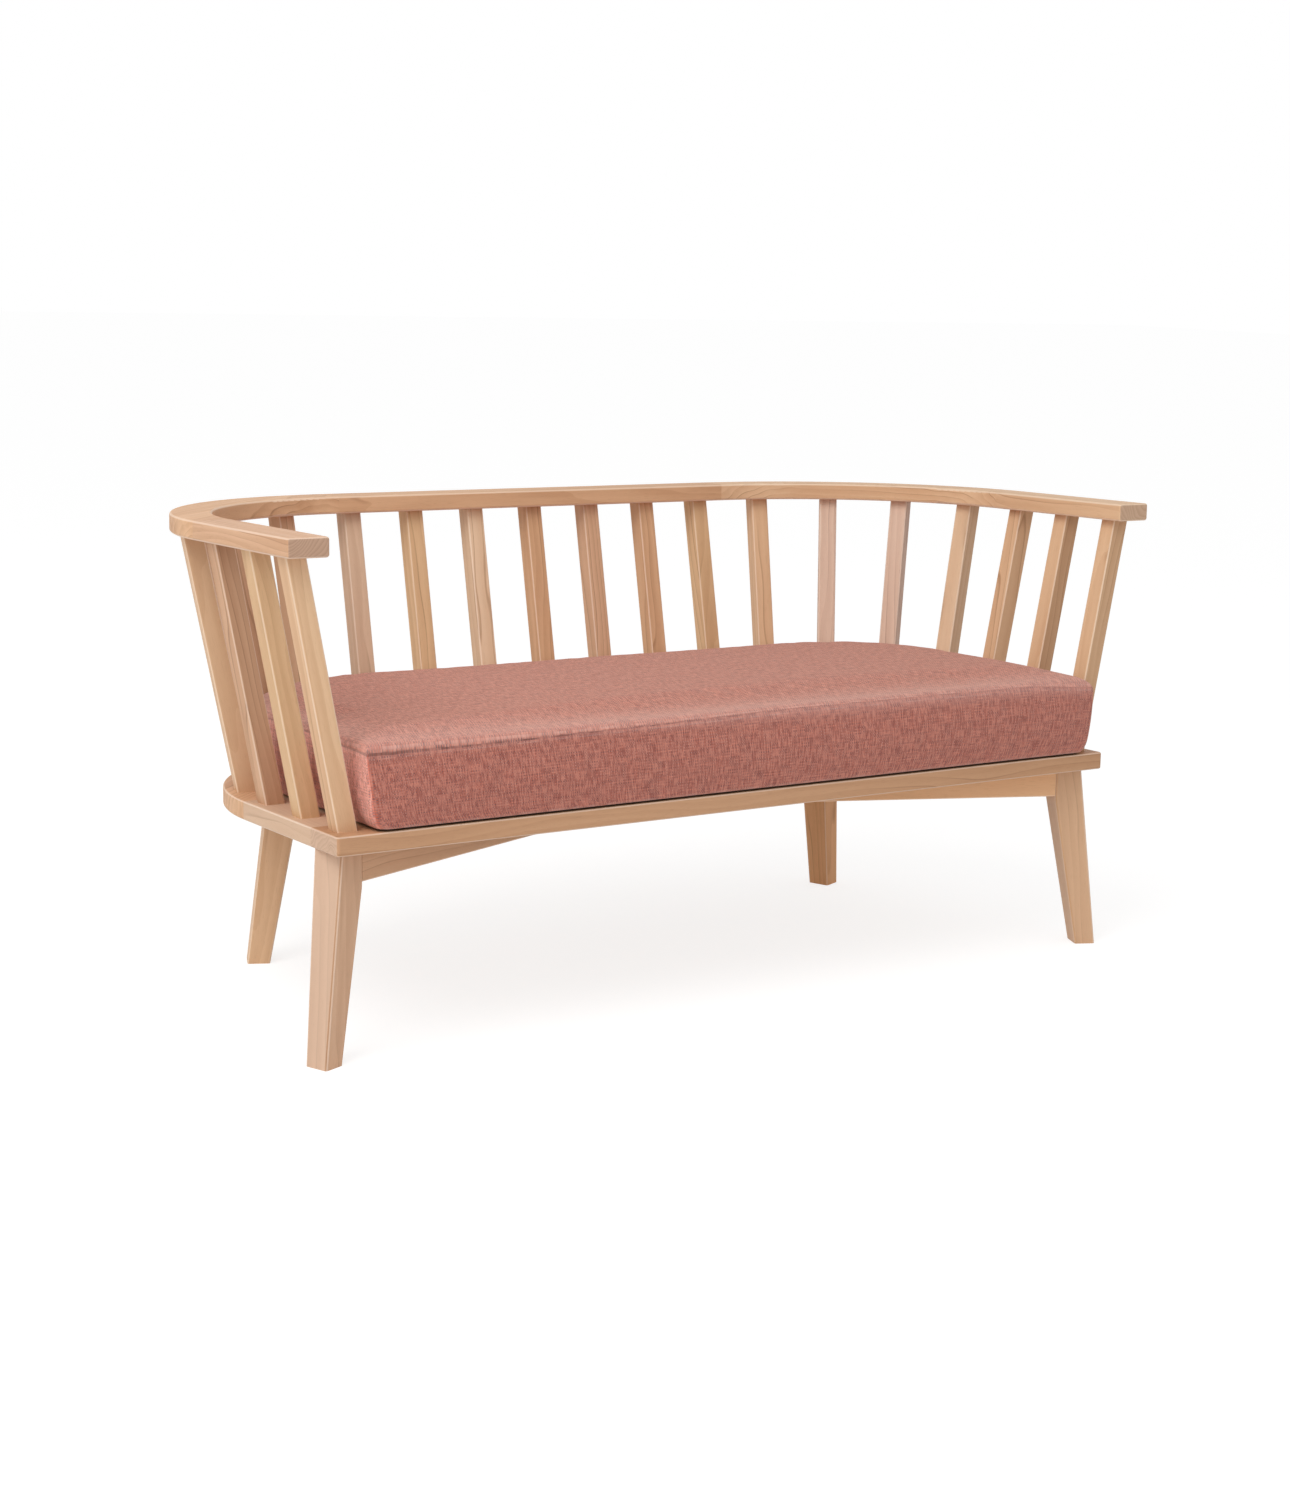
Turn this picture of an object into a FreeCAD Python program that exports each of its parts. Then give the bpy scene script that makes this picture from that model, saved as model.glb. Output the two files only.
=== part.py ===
import FreeCAD, Part
import math
import os
from FreeCAD import Vector

# Garden sofa: a bent top rail on leaning square spindles, a seat frame of boards with slats, four tapered
# legs tied by two crossed braces, and a loose seat cushion.
# It is drawn level with its seat: x to the right seen from the front, y to the back, z = 0 on top of the
# seat frame and y = 0 on the line through the centres of the two back corners. The finished sofa is then
# leaned back a little and stood on the floor. Lengths are in millimetres and angles in degrees.

# Top rail
overall_width = 1500.0
rail_width = 60.0
rail_thickness = 27.0
rail_edge_radius = 4.0
rail_end_radius = 3.0
rail_top_height = 395.0
arm_length = 294.0
corner_radius = 358.0

# Seat frame
seat_height = 310.0
seat_lean_back = 1.64
seat_thickness = 27.0
seat_inset = 40.0
seat_setback = 5.0
seat_board_width = 78.0
seat_edge_radius = 3.0
seat_corner_radius = 5.0

# Spindles: they lean outwards from foot to head, and their heads lie a little outside the rail's middle line
spindles_each_side = 10
spindle_side = 29.3
spindle_edge_radius = 3.0
spindle_lean = 72.0
spindle_head_offset = 3.0
spindle_spacing_inset = 47.0
first_spindle_setback = 45.0
spindle_tenon_diameter = 16.0
spindle_tenon_length = 14.0

# Slats under the cushion
slat_count = 10
slat_width = 96.0
slat_thickness = 15.0
slat_drop = 1.0
slat_edge_radius = 2.0
slat_tongue_thickness = 7.0
slat_tongue_length = 10.0

# Legs: how far their tops lie inside the seat frame's outline, the back ones' place round its back corner,
# the taper to the foot, and how far the upright face lies from the brace's middle
front_leg_side_inset = 14.4
front_leg_setback = 38.4
back_leg_inset = 19.9
back_leg_turn = 56.5
leg_splay = 6.9
leg_top_depth = 42.0
leg_top_width = 49.0
leg_foot_depth = 34.0
leg_foot_width = 36.5
leg_face_offset = 14.5
leg_knee_drop = 53.0
leg_knee_radius = 60.0
leg_edge_radius = 3.0
leg_tenon_depth = 24.0
leg_tenon_width = 18.0
leg_tenon_length = 9.0

# Crossed braces under the seat frame
brace_depth = 47.0
brace_thickness = 27.0
brace_edge_radius = 3.0
brace_tenon_height = 34.0
brace_tenon_thickness = 14.0
brace_tenon_length = 22.0

# Screws up through the braces into the seat frame
screw_from_leg = 18.0
screw_shank_diameter = 4.5
screw_head_diameter = 9.0
screw_head_height = 3.0
screw_recess_diameter = 10.0
screw_recess_depth = 20.0
screw_grip = 12.0

# Tenons that join the boards of the rail and of the seat frame end to end
rail_tenon_width = 32.0
rail_tenon_thickness = 10.0
rail_tenon_length = 20.0
seat_tenon_width = 40.0
seat_tenon_thickness = 9.0
seat_tenon_length = 10.0

# Cushion: sewn border with a bulge, and a crowned top
cushion_border_height = 104.0
cushion_crown = 19.0
cushion_crown_reach = 160.0
cushion_side_inset = 78.0
cushion_front_overhang = 2.0
cushion_drawn_in = 11.0
cushion_front_corner_radius = 30.0
cushion_levels = 4

# Clearances
joint_clearance = 0.1
blind_gap = 1.0
slat_clearance = 0.3
cushion_clearance = 0.3

# How close counts as the same place, for picking edges
same_place = 0.01

# Values worked out from the sizes above
up = Vector(0, 0, 1)
across = Vector(1, 0, 0)
origin = Vector(0, 0, 0)
rail_half_width = (overall_width - rail_width) / 2
corner_centre_x = rail_half_width - corner_radius
rail_underside = rail_top_height - rail_thickness
seat_front = seat_setback - arm_length
seat_half_width = rail_half_width - seat_inset
seat_inner_inset = seat_inset + seat_board_width
seat_inner_front = seat_front + seat_board_width
seat_outer_radius = corner_radius - seat_inset
seat_inner_radius = corner_radius - seat_inner_inset
front_leg_x = seat_half_width - front_leg_side_inset
front_leg_y = seat_front + front_leg_setback
back_leg_x = corner_centre_x + (seat_outer_radius - back_leg_inset) * math.cos(math.radians(back_leg_turn))
back_leg_y = (seat_outer_radius - back_leg_inset) * math.sin(math.radians(back_leg_turn))

# The braces run from each front leg to the back leg across from it, and cross on the middle line
brace_turn = math.degrees(math.atan2(back_leg_y - front_leg_y, back_leg_x + front_leg_x))
brace_crossing_y = front_leg_y + front_leg_x * math.tan(math.radians(brace_turn))
front_leg_reach = front_leg_x / math.cos(math.radians(brace_turn))
back_leg_reach = back_leg_x / math.cos(math.radians(brace_turn))
front_leg_turn = 180 + brace_turn
brace_bottom = -seat_thickness - brace_depth
brace_ends = (leg_top_depth - front_leg_reach, back_leg_reach - leg_top_depth)
leg_slope = math.tan(math.radians(leg_splay))


def rounded_outline(corners):
    """Closed wire through the corners, each a point and the radius that rounds it."""
    points = [point for point, radius in corners]
    edges = []
    joints = []
    for number, (point, radius) in enumerate(corners):
        before = (points[number - 1] - point).normalize()
        after = (points[(number + 1) % len(points)] - point).normalize()
        half_turn = before.getAngle(after) / 2
        reach = radius / math.tan(half_turn)
        start = point + before * reach
        finish = point + after * reach
        if radius > 0:
            inward = (before + after).normalize()
            middle = point + inward * (radius / math.sin(half_turn) - radius)
            joints.append((start, finish, Part.Arc(start, middle, finish).toShape()))
        else:
            joints.append((start, finish, None))
    for number, (start, finish, arc) in enumerate(joints):
        next_start = joints[(number + 1) % len(joints)][0]
        if arc is not None:
            edges.append(arc)
        edges.append(Part.makeLine(finish, next_start))
    return Part.Wire(edges)


def section_face(inner, outer, bottom, top, inner_radius, outer_radius):
    """Upright section of a board, square to y, with its inner and outer edges eased."""
    corners = [
        (Vector(inner, 0, bottom), inner_radius),
        (Vector(outer, 0, bottom), outer_radius),
        (Vector(outer, 0, top), outer_radius),
        (Vector(inner, 0, top), inner_radius),
    ]
    return Part.Face(rounded_outline(corners))


def d_outline(inset, front, front_radius, height):
    """Plan outline inside the rail's middle line: straight front, round back corners."""
    half_width = rail_half_width - inset
    back = corner_radius - inset
    corners = [
        (Vector(-half_width, front, height), front_radius),
        (Vector(half_width, front, height), front_radius),
        (Vector(half_width, back, height), back),
        (Vector(-half_width, back, height), back),
    ]
    return rounded_outline(corners)


def d_slab(inset, front, bottom, top):
    """Level slab with the plan outline."""
    return Part.Face(d_outline(inset, front, 0, bottom)).extrude(up * (top - bottom))


def block(low, high):
    """Box between two opposite corners."""
    size = high - low
    return Part.makeBox(size.x, size.y, size.z, low)


def mirrored(shape):
    """Left-hand copy of a right-hand piece, or the other way round."""
    return shape.mirror(origin, across)


def quarter_turned(shape):
    """Copy of a piece at the start of a corner, moved to the corner's far end."""
    return shape.mirror(origin, Vector(1, -1, 0))


def turned(shape, angle):
    """Copy of a shape, turned about the upright line through the origin."""
    return shape.rotated(origin, up, angle)


def level_edges(shape, height):
    """Edges that lie at one height."""
    found = []
    for edge in shape.Edges:
        box = edge.BoundBox
        if box.ZMax < height + same_place and box.ZMin > height - same_place:
            found.append(edge)
    return found


def upright_edges(shape):
    """Edges that rise more than they run."""
    found = []
    for edge in shape.Edges:
        tangent = edge.tangentAt(edge.FirstParameter)
        if abs(tangent.z) > math.hypot(tangent.x, tangent.y):
            found.append(edge)
    return found


def tenon_block(middle, level, size, clearance):
    """Tenon that points to the back from y = 0, or its mortise if it is given a clearance."""
    width, thickness, length = size
    depth = length + (blind_gap if clearance else 0)
    low = Vector(middle - width / 2 - clearance, 0, level - thickness / 2 - clearance)
    high = Vector(middle + width / 2 + clearance, depth, level + thickness / 2 + clearance)
    return block(low, high)


def rail_tenon(clearance):
    """Tenon between two pieces of the rail, at the start of a corner."""
    level = (rail_underside + rail_top_height) / 2
    size = (rail_tenon_width, rail_tenon_thickness, rail_tenon_length)
    return tenon_block(corner_radius, level, size, clearance)


def seat_tenon(clearance):
    """Tenon between two boards of the seat frame, at the start of a corner."""
    middle = (seat_outer_radius + seat_inner_radius) / 2
    level = -seat_thickness / 2
    size = (seat_tenon_width, seat_tenon_thickness, seat_tenon_length)
    return tenon_block(middle, level, size, clearance)


def spindle_places():
    """Where each spindle meets the rail's middle line: plan point and the angle of its outward lean.

    The spindles are evenly spaced along a line that runs inside the rail, between its middle line and the
    spindles' feet.
    """
    spacing_radius = corner_radius - spindle_spacing_inset
    corner_run = spacing_radius * math.pi / 2
    half_run = corner_centre_x + corner_run + arm_length - first_spindle_setback
    pitch = half_run / spindles_each_side
    places = []
    for number in range(-spindles_each_side, spindles_each_side + 1):
        run = abs(number) * pitch
        angle = 90 - math.degrees((run - corner_centre_x) / spacing_radius)
        angle = min(90, max(0, angle))
        lean_x = math.cos(math.radians(angle))
        lean_y = math.sin(math.radians(angle))
        x = min(run, corner_centre_x) + corner_radius * lean_x
        y = corner_radius * lean_y - max(0, run - corner_centre_x - corner_run)
        places.append((Vector(x, y, 0), angle) if number >= 0 else (Vector(-x, y, 0), 180 - angle))
    return places


def spindle_axis():
    """Foot point, head point and direction of a spindle that leans along +x, from the rail's middle line."""
    foot = Vector(spindle_head_offset - spindle_lean, 0, 0)
    head = Vector(spindle_head_offset, 0, rail_underside)
    return foot, head, (head - foot).normalize()


def spindle_pins(diameter, length):
    """Round tenons at both ends of a spindle, or the bores that take them."""
    foot, head, direction = spindle_axis()
    overlap = direction * spindle_tenon_diameter
    lower = Part.makeCylinder(diameter / 2, length + spindle_tenon_diameter, foot + overlap, direction * -1)
    upper = Part.makeCylinder(diameter / 2, length + spindle_tenon_diameter, head - overlap, direction)
    return lower, upper


def spindle_shape():
    """Square bar with eased edges, cut level at the seat and at the rail, with a round tenon at each end."""
    foot, head, direction = spindle_axis()
    half_cut = spindle_side / 2 / direction.z
    corners = [
        foot - across * half_cut,
        foot + across * half_cut,
        head + across * half_cut,
        head - across * half_cut,
    ]
    side = Part.makePolygon(corners + corners[:1])
    bar = Part.Face(side).extrude(Vector(0, spindle_side, 0))
    bar.translate(Vector(0, -spindle_side / 2, 0))
    bar = bar.makeFillet(spindle_edge_radius, upright_edges(bar))
    lower, upper = spindle_pins(spindle_tenon_diameter, spindle_tenon_length)
    return bar.fuse([lower, upper])


def placed_spindle(shape, place):
    """Copy of a spindle, or of its bores, at one place along the rail."""
    point, angle = place
    return turned(shape, angle).translated(point)


def spindle_bores():
    """Bores for all the spindles, in the seat frame and in the rail."""
    diameter = spindle_tenon_diameter + 2 * joint_clearance
    lower, upper = spindle_pins(diameter, spindle_tenon_length + blind_gap)
    places = spindle_places()
    seat_bores = Part.makeCompound([placed_spindle(lower, place) for place in places])
    rail_bores = Part.makeCompound([placed_spindle(upper, place) for place in places])
    return seat_bores, rail_bores


def rail_pieces(bores):
    """Rail of five pieces: two straight arms, two corners and a straight back, tenoned end to end."""
    inner = corner_radius - rail_width / 2
    outer = corner_radius + rail_width / 2
    section = section_face(inner, outer, rail_underside, rail_top_height, rail_edge_radius, rail_edge_radius)
    to_corner = Vector(corner_centre_x, 0, 0)

    arm = section.extrude(Vector(0, -arm_length, 0))
    end_edges = [edge for edge in arm.Edges if edge.BoundBox.YMax < same_place - arm_length]
    arm = arm.makeFillet(rail_end_radius, end_edges)
    arm = arm.fuse(rail_tenon(0)).translated(to_corner).cut(bores)

    corner = section.revolve(origin, up, 90)
    mortise = rail_tenon(joint_clearance)
    corner = corner.cut([mortise, quarter_turned(mortise)]).translated(to_corner).cut(bores)

    back = turned(section, 90).extrude(Vector(-2 * corner_centre_x, 0, 0)).translated(to_corner)
    far_tenon = quarter_turned(rail_tenon(0)).translated(to_corner)
    back = back.fuse([far_tenon, mirrored(far_tenon)]).cut(bores)
    return {
        "rail_arm_left": mirrored(arm),
        "rail_arm_right": arm,
        "rail_corner_left": mirrored(corner),
        "rail_corner_right": corner,
        "rail_back": back,
    }


def seat_front_board(cuts):
    """Board across the whole front of the seat, with its outer corners rounded and its outer edges eased."""
    outline = rounded_outline([
        (Vector(-seat_half_width, seat_front, -seat_thickness), seat_corner_radius),
        (Vector(seat_half_width, seat_front, -seat_thickness), seat_corner_radius),
        (Vector(seat_half_width, seat_inner_front, -seat_thickness), 0),
        (Vector(-seat_half_width, seat_inner_front, -seat_thickness), 0),
    ])
    board = Part.Face(outline).extrude(up * seat_thickness)
    flat_edges = level_edges(board, 0) + level_edges(board, -seat_thickness)
    eased = [edge for edge in flat_edges if edge.BoundBox.YMin < seat_inner_front - same_place]
    board = board.makeFillet(seat_edge_radius, eased)
    mortise = seat_tenon(joint_clearance).mirror(origin, Vector(0, 1, 0))
    mortise.translate(Vector(corner_centre_x, seat_inner_front, 0))
    return board.cut([mortise, mirrored(mortise)]).cut(cuts)


def seat_boards(cuts):
    """Boards of the seat frame: front, two sides, two corners and back, tenoned end to end."""
    section = section_face(seat_inner_radius, seat_outer_radius, -seat_thickness, 0, 0, seat_edge_radius)
    to_corner = Vector(corner_centre_x, 0, 0)

    side = section.extrude(Vector(0, seat_inner_front, 0))
    front_tenon = seat_tenon(0).mirror(origin, Vector(0, 1, 0)).translated(Vector(0, seat_inner_front, 0))
    side = side.fuse([seat_tenon(0), front_tenon]).translated(to_corner)

    corner = section.revolve(origin, up, 90)
    mortise = seat_tenon(joint_clearance)
    corner = corner.cut([mortise, quarter_turned(mortise)]).translated(to_corner)

    back = turned(section, 90).extrude(Vector(-2 * corner_centre_x, 0, 0)).translated(to_corner)
    far_tenon = quarter_turned(seat_tenon(0)).translated(to_corner)
    back = back.fuse([far_tenon, mirrored(far_tenon)])
    return {
        "seat_front": seat_front_board(cuts),
        "seat_side_left": mirrored(side).cut(cuts),
        "seat_side_right": side.cut(cuts),
        "seat_corner_left": mirrored(corner).cut(cuts),
        "seat_corner_right": corner.cut(cuts),
        "seat_back": back.cut(cuts),
    }


def slat_levels():
    """Bottom and top of the tongue on a slat's ends."""
    middle = -slat_drop - slat_thickness / 2
    return middle - slat_tongue_thickness / 2, middle + slat_tongue_thickness / 2


def slat_groove():
    """Groove round the inside of the seat frame that takes the slats' tongues."""
    bottom, top = slat_levels()
    depth = slat_tongue_length + blind_gap
    low = bottom - joint_clearance
    high = top + joint_clearance
    return d_slab(seat_inner_inset - depth, seat_inner_front - depth, low, high)


def slat_shapes():
    """Slats from front to back, cut to the frame's inside and tongued at both ends."""
    bottom, top = slat_levels()
    body = d_slab(
        seat_inner_inset + slat_clearance,
        seat_inner_front + slat_clearance,
        -slat_drop - slat_thickness,
        -slat_drop,
    )
    reach = slat_tongue_length
    tongue = d_slab(seat_inner_inset - reach, seat_inner_front - reach, bottom, top)
    pitch = 2 * (rail_half_width - seat_inner_inset) / slat_count
    shapes = {}
    for number in range(slat_count):
        middle = (number - (slat_count - 1) / 2) * pitch
        strip = block(
            Vector(middle - slat_width / 2, seat_front, -seat_thickness),
            Vector(middle + slat_width / 2, corner_radius, 0),
        )
        board = body.common(strip)
        long_edges = [edge for edge in level_edges(board, -slat_drop) if edge.BoundBox.XLength < same_place]
        board = board.makeFillet(slat_edge_radius, long_edges)
        shapes["slat_%02d" % (number + 1)] = board.fuse(tongue.common(strip))
    return shapes


def leg_tenon(reach, clearance):
    """Tenon on top of a leg, or its mortise in the seat frame."""
    middle_x = reach - leg_top_depth / 2
    middle_y = leg_face_offset - leg_top_width / 2
    half_depth = leg_tenon_depth / 2 + clearance
    half_width = leg_tenon_width / 2 + clearance
    height = leg_tenon_length + (blind_gap if clearance else 0)
    low = Vector(middle_x - half_depth, middle_y - half_width, -seat_thickness)
    high = Vector(middle_x + half_depth, middle_y + half_width, height - seat_thickness)
    return block(low, high)


def brace_tenon(end, direction, clearance):
    """Tenon on a brace's end, or its mortise in a leg; the end's place is along the brace."""
    length = (brace_tenon_length + (blind_gap if clearance else 0)) * direction
    half_height = brace_tenon_height / 2 + clearance
    half_width = brace_tenon_thickness / 2 + clearance
    middle = brace_bottom + brace_depth / 2
    low = Vector(min(end, end + length), -half_width, middle - half_height)
    high = Vector(max(end, end + length), half_width, middle + half_height)
    return block(low, high)


def leg_shape(reach):
    """Leg that points outward along +x: splayed outer face, knee below the brace, taper on two faces.

    The face on the +y side stays upright. The leg runs on below the floor, where it is cut later.
    """
    top = -seat_thickness
    knee = top - leg_knee_drop
    foot = -seat_height
    outer_foot = reach + leg_slope * (top - foot)
    inner_top = reach - leg_top_depth
    inner_foot = outer_foot - leg_foot_depth
    inner_slope = (inner_foot - inner_top) / (knee - foot)
    width_slope = (leg_top_width - leg_foot_width) / (top - foot)
    below = leg_top_depth
    side_profile = rounded_outline([
        (Vector(reach, 0, top), 0),
        (Vector(inner_top, 0, top), 0),
        (Vector(inner_top, 0, knee), leg_knee_radius),
        (Vector(inner_foot + inner_slope * below, 0, foot - below), 0),
        (Vector(outer_foot + leg_slope * below, 0, foot - below), 0),
    ])
    lower_y = leg_face_offset - leg_foot_width + width_slope * below
    front_corners = [
        Vector(0, leg_face_offset, top),
        Vector(0, leg_face_offset - leg_top_width, top),
        Vector(0, lower_y, foot - below),
        Vector(0, leg_face_offset, foot - below),
    ]
    side_slab = Part.Face(side_profile).extrude(Vector(0, 2 * leg_top_width, 0))
    side_slab.translate(Vector(0, -leg_top_width, 0))
    front_profile = Part.makePolygon(front_corners + front_corners[:1])
    front_slab = Part.Face(front_profile).extrude(across * 2 * reach)
    leg = side_slab.common(front_slab)
    leg = leg.makeFillet(leg_edge_radius, upright_edges(leg))
    leg = leg.fuse(leg_tenon(reach, 0))
    return leg.cut(brace_tenon(inner_top, 1, joint_clearance))


def on_diagonal(shape, turn):
    """Copy of a shape moved from the x axis to a diagonal through the braces' crossing."""
    return turned(shape, turn).translated(Vector(0, brace_crossing_y, 0))


def leg_shapes():
    """Four legs: the front and back ones are mirror images of one pattern, cut to their own heights."""
    front_left = on_diagonal(leg_shape(front_leg_reach), front_leg_turn)
    back_right = on_diagonal(leg_shape(back_leg_reach), brace_turn)
    return {
        "leg_front_left": front_left,
        "leg_front_right": mirrored(front_left),
        "leg_back_right": back_right,
        "leg_back_left": mirrored(back_right),
    }


def leg_mortises():
    """Mortises in the seat frame for the tops of the legs."""
    front_left = on_diagonal(leg_tenon(front_leg_reach, joint_clearance), front_leg_turn)
    back_right = on_diagonal(leg_tenon(back_leg_reach, joint_clearance), brace_turn)
    return [front_left, mirrored(front_left), back_right, mirrored(back_right)]


def screw_points():
    """Places of the screws along a brace."""
    front_end, back_end = brace_ends
    return front_end + screw_from_leg, back_end - screw_from_leg


def screw_shape(along, clearance):
    """Screw below the seat frame, or its hole with the recess for the head."""
    seat = brace_bottom + screw_recess_depth
    tip = screw_grip - seat_thickness + (blind_gap if clearance else 0)
    foot = Vector(along, 0, seat)
    shank = Part.makeCylinder(screw_shank_diameter / 2 + clearance, tip - seat, foot)
    if clearance:
        recess_foot = Vector(along, 0, brace_bottom - blind_gap)
        recess = Part.makeCylinder(screw_recess_diameter / 2, screw_recess_depth + blind_gap, recess_foot)
        return shank.fuse(recess)
    head_foot = Vector(along, 0, seat - screw_head_height)
    head = Part.makeCylinder(screw_head_diameter / 2, screw_head_height, head_foot)
    return shank.fuse(head)


def brace_shape(notch_bottom, notch_top):
    """Brace along the x axis: lower edges eased, tenons at both ends and a half-lap notch at x = 0."""
    front_end, back_end = brace_ends
    half = brace_thickness / 2
    brace = block(Vector(front_end, -half, brace_bottom), Vector(back_end, half, -seat_thickness))
    lower = [edge for edge in level_edges(brace, brace_bottom) if edge.BoundBox.YLength < same_place]
    brace = brace.makeFillet(brace_edge_radius, lower)
    brace = brace.fuse([brace_tenon(front_end, -1, 0), brace_tenon(back_end, 1, 0)])
    room = half + joint_clearance
    notch = block(Vector(front_end, -room, notch_bottom), Vector(back_end, room, notch_top))
    notch = turned(notch, -2 * brace_turn)
    holes = [screw_shape(along, joint_clearance) for along in screw_points()]
    return brace.cut([notch] + holes)


def brace_shapes():
    """Two braces that cross on edge; the first is notched from above, the second from below."""
    middle = brace_bottom + brace_depth / 2
    first = brace_shape(middle, middle + brace_depth)
    second = brace_shape(middle - brace_depth, middle)
    return {
        "brace_front_left_to_back_right": on_diagonal(first, brace_turn),
        "brace_front_right_to_back_left": mirrored(on_diagonal(second, brace_turn)),
    }


def screw_shapes():
    """One screw near each end of each brace."""
    front_place, back_place = screw_points()
    front_left = on_diagonal(screw_shape(front_place, 0), brace_turn)
    back_right = on_diagonal(screw_shape(back_place, 0), brace_turn)
    return {
        "screw_front_left": front_left,
        "screw_front_right": mirrored(front_left),
        "screw_back_right": back_right,
        "screw_back_left": mirrored(back_right),
    }


def screw_holes():
    """Holes for the screws in the seat frame."""
    right = [on_diagonal(screw_shape(along, joint_clearance), brace_turn) for along in screw_points()]
    return right + [mirrored(hole) for hole in right]


def cushion_outline(drawn_in, height):
    """Level section of the cushion, drawn in from its widest outline."""
    front = seat_front - cushion_front_overhang + drawn_in
    front_radius = cushion_front_corner_radius + drawn_in / 4
    return d_outline(cushion_side_inset + drawn_in, front, front_radius, height)


def cushion_shape():
    """Seat cushion: a border that bulges between its seams, and a top that rises to a crown."""
    border = []
    for level in range(cushion_levels + 1):
        share = level / cushion_levels
        drawn_in = cushion_drawn_in * (2 * share - 1) ** 2
        border.append(cushion_outline(drawn_in, cushion_clearance + share * cushion_border_height))
    top = []
    for level in range(cushion_levels + 1):
        turn = math.pi / 2 * level / cushion_levels
        drawn_in = cushion_drawn_in + cushion_crown_reach * (1 - math.cos(turn))
        height = cushion_clearance + cushion_border_height + cushion_crown * math.sin(turn)
        top.append(cushion_outline(drawn_in, height))
    return Part.makeLoft(border, True).fuse(Part.makeLoft(top, True))


def stood_up(shape):
    """Copy of a shape, leaned back and raised to the seat's height above the floor."""
    return shape.rotated(origin, across, -seat_lean_back).translated(up * seat_height)


def sofa_pieces():
    """All pieces by name, leaned back, with the legs cut level at the floor."""
    seat_bores, rail_bores = spindle_bores()
    seat_cuts = [seat_bores, slat_groove()] + leg_mortises() + screw_holes()
    pieces = rail_pieces(rail_bores)
    spindle = spindle_shape()
    for number, place in enumerate(spindle_places()):
        pieces["spindle_%02d" % (number + 1)] = placed_spindle(spindle, place)
    pieces.update(seat_boards(seat_cuts))
    pieces.update(slat_shapes())
    pieces.update(brace_shapes())
    pieces.update(screw_shapes())
    pieces["seat_cushion"] = cushion_shape()
    pieces = {name: stood_up(shape) for name, shape in pieces.items()}
    far = overall_width
    floor = block(Vector(-far, -far, -seat_height), Vector(far, far, 0))
    for name, leg in leg_shapes().items():
        pieces[name] = stood_up(leg).cut(floor)
    return pieces


pieces = sofa_pieces()
bounds = Part.makeCompound(list(pieces.values())).optimalBoundingBox(False)
to_middle = Vector(-bounds.Center.x, -bounds.Center.y, 0)
os.makedirs("parts", exist_ok=True)
for name, shape in pieces.items():
    shape.translated(to_middle).exportStep("parts/%s.step" % name)
print("pieces", len(pieces))
print("size", bounds.XLength, bounds.YLength, bounds.ZLength, "moved", to_middle.y)
for name, shape in pieces.items():
    if len(shape.Solids) != 1 or not shape.isValid():
        print("look at", name, len(shape.Solids), shape.isValid())
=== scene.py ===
import itertools
import math

import bpy
import numpy as np
from mathutils import Matrix, Vector


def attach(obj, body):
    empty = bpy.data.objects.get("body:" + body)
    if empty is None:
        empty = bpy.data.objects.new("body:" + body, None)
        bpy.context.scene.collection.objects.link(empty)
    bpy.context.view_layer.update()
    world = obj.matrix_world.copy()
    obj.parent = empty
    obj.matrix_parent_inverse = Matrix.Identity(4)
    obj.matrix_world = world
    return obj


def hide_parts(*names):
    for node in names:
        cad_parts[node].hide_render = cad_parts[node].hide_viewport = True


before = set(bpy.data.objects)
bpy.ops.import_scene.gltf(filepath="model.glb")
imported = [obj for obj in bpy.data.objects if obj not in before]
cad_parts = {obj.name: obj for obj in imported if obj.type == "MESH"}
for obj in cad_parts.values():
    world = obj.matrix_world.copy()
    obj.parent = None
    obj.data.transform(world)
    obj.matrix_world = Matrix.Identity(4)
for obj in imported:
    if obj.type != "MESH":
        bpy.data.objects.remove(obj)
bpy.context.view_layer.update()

# Legs: four splayed legs, each sawn from one length of pale oiled hardwood and tapered on two faces.
# Their tops are tenoned up into the seat frame, and their inner faces take the ends of the braces.


def add_node(tree, kind, inputs, output=0, **settings):
    """One shader node: inputs maps a socket's name or number to a value, or to the socket that feeds it."""
    node = tree.nodes.new("ShaderNode" + kind)
    for name, value in settings.items():
        setattr(node, name, value)
    for key, value in inputs.items():
        if isinstance(value, bpy.types.NodeSocket):
            tree.links.new(value, node.inputs[key])
        else:
            node.inputs[key].default_value = value
    return node.outputs[output]


def calc(tree, operation, *terms):
    """Number worked out from numbers."""
    return add_node(tree, "Math", dict(enumerate(terms)), operation=operation)


def calc_vector(tree, operation, *terms):
    """Vector worked out from vectors."""
    return add_node(tree, "VectorMath", dict(enumerate(terms)), operation=operation)


def dot(tree, first, second):
    """Length of one vector along another."""
    return add_node(tree, "VectorMath", {0: first, 1: second}, output=1, operation="DOT_PRODUCT")


def rise(tree, value, low, high):
    """Smooth step from 0 at low to 1 at high."""
    ends = {"Value": value, "From Min": low, "From Max": high}
    return add_node(tree, "MapRange", ends, interpolation_type="SMOOTHSTEP")


def fall(tree, value, low, high):
    """Smooth step from 1 at low to 0 at high."""
    return calc(tree, "SUBTRACT", 1.0, rise(tree, value, low, high))


def split(tree, vector):
    """The three numbers of a vector."""
    return add_node(tree, "SeparateXYZ", {0: vector}).node.outputs[:]


def blend_colours(tree, share, first, second):
    """Colour between two others."""
    return add_node(tree, "Mix", {0: share, 6: first, 7: second}, output=2, data_type="RGBA")


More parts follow.
